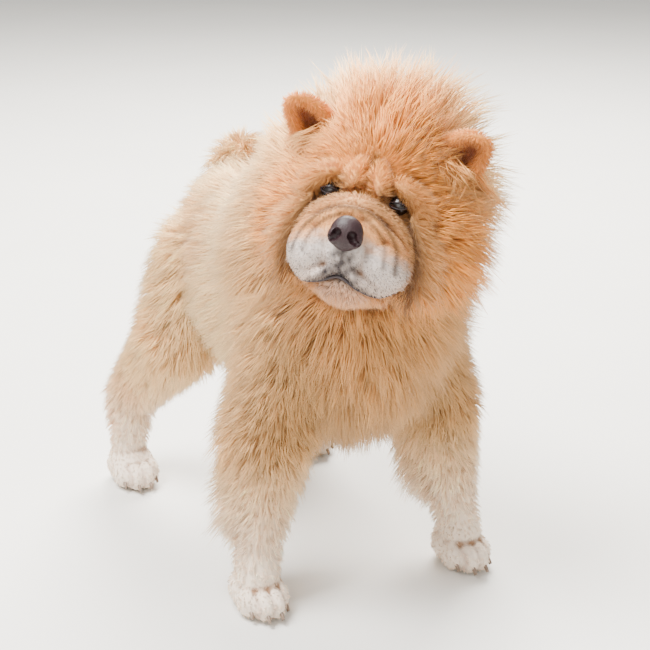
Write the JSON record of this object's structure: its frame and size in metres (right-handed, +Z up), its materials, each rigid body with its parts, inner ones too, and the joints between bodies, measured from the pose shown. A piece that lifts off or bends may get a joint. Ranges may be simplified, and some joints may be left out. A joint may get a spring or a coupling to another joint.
{
  "type": "chow chow dog",
  "caption": "Still, life-size chow chow standing on four feet, forelegs set wide and head turned to its right, with a long standing coat of tapered locks and a thick ruff.",
  "frame": {"origin": "the middle of the dog's bounding box on the floor it stands on", "axes": "+Z up; the body faces -Y, and +X is the dog's left side"},
  "size_m": [0.3544, 0.6302, 0.6429],
  "materials": {
    "golden_coat": "long standing golden hair of the head and ruff, soft and matt",
    "orange_coat": "short plush orange hair of the ears",
    "cream_coat": "long cream hair of the body and legs, soft and matt",
    "pale_coat": "short pale hair of the paws and lips",
    "nose_leather": "pebbled, slightly moist brown-black nose leather",
    "eye": "wet, very dark brown eye",
    "claw": "smooth horn-coloured claw"
  },
  "bodies": {
    "root": {"head": "golden_coat", "neck": "golden_coat", "ear_right": "orange_coat", "ear_left": "orange_coat", "eye_right": "eye", "eye_left": "eye", "nose_leather": "nose_leather", "muzzle": "pale_coat", "lower_jaw": "pale_coat", "torso": "cream_coat", "tail": "cream_coat", "upper_arm_right": "cream_coat", "upper_arm_left": "cream_coat", "forearm_right": "cream_coat", "forearm_left": "cream_coat", "fore_paw_right": "pale_coat", "fore_paw_left": "pale_coat", "thigh_right": "cream_coat", "thigh_left": "cream_coat", "hock_right": "cream_coat", "hock_left": "cream_coat", "hind_paw_right": "pale_coat", "hind_paw_left": "pale_coat"}
  },
  "joints": []
}
